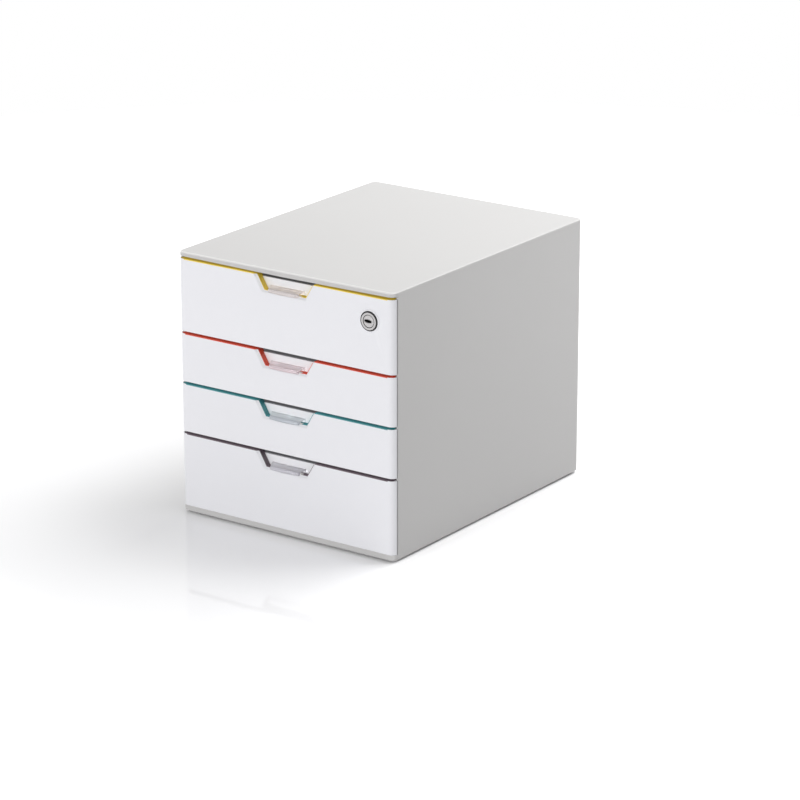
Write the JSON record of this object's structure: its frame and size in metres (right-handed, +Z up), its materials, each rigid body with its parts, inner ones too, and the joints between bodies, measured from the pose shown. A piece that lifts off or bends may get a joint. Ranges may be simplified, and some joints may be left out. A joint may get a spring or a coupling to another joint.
{
  "type": "desktop drawer box",
  "caption": "Closed desktop drawer box for paper: low and tall sliding drawers with notched fronts, coloured trims and clear label pulls, the top one with a cam lock.",
  "frame": {"origin": "on the ground, under the middle of the box that holds everything, pulls included", "axes": "+X to the right seen from the front, +Y to the back, +Z up; the drawers open towards -Y"},
  "size_m": [0.28, 0.36, 0.292],
  "materials": {
    "casing_grey": "fine-textured light grey plastic",
    "front_white": "satin white plastic",
    "trim_yellow": "satin yellow plastic",
    "trim_red": "satin coral red plastic",
    "trim_teal": "satin teal plastic",
    "trim_mauve": "satin mauve-brown plastic",
    "clear_plastic": "clear, slightly frosted plastic",
    "paper": "plain white card",
    "rubber": "matt dark rubber",
    "nickel": "satin nickel plating on die-cast zinc"
  },
  "bodies": {
    "casing": {"casing_shell": "casing_grey", "back_panel": "casing_grey", "runner_frame_left": "front_white", "runner_frame_right": "front_white", "foot_front_left": "rubber", "foot_front_right": "rubber", "foot_rear_left": "rubber", "foot_rear_right": "rubber", "lock_strike": "casing_grey"},
    "drawer_1": {"drawer_1_tray": "front_white", "drawer_1_cover": "front_white", "drawer_1_trim": "trim_yellow", "drawer_1_pull": "clear_plastic", "drawer_1_label": "paper", "lock_housing": "nickel", "lock_nut": "nickel"},
    "drawer_2": {"drawer_2_tray": "front_white", "drawer_2_cover": "front_white", "drawer_2_trim": "trim_red", "drawer_2_pull": "clear_plastic", "drawer_2_label": "paper"},
    "drawer_3": {"drawer_3_tray": "front_white", "drawer_3_cover": "front_white", "drawer_3_trim": "trim_teal", "drawer_3_pull": "clear_plastic", "drawer_3_label": "paper"},
    "drawer_4": {"drawer_4_tray": "front_white", "drawer_4_cover": "front_white", "drawer_4_trim": "trim_mauve", "drawer_4_pull": "clear_plastic", "drawer_4_label": "paper"},
    "lock": {"lock_plug": "nickel", "lock_cam": "nickel", "lock_cam_screw": "nickel"}
  },
  "joints": [
    {"name": "drawer_1_slide", "type": "slide", "parent": "casing", "child": "drawer_1", "axis": [0, -1, 0], "range_m": [0, 0.25]},
    {"name": "drawer_2_slide", "type": "slide", "parent": "casing", "child": "drawer_2", "axis": [0, -1, 0], "range_m": [0, 0.25]},
    {"name": "drawer_3_slide", "type": "slide", "parent": "casing", "child": "drawer_3", "axis": [0, -1, 0], "range_m": [0, 0.25]},
    {"name": "drawer_4_slide", "type": "slide", "parent": "casing", "child": "drawer_4", "axis": [0, -1, 0], "range_m": [0, 0.25]},
    {"name": "lock_turn", "type": "hinge", "parent": "drawer_1", "child": "lock", "pos_m": [0.1095, -0.176, 0.2581], "axis": [0, 1, 0], "range_deg": [0, 90]}
  ]
}
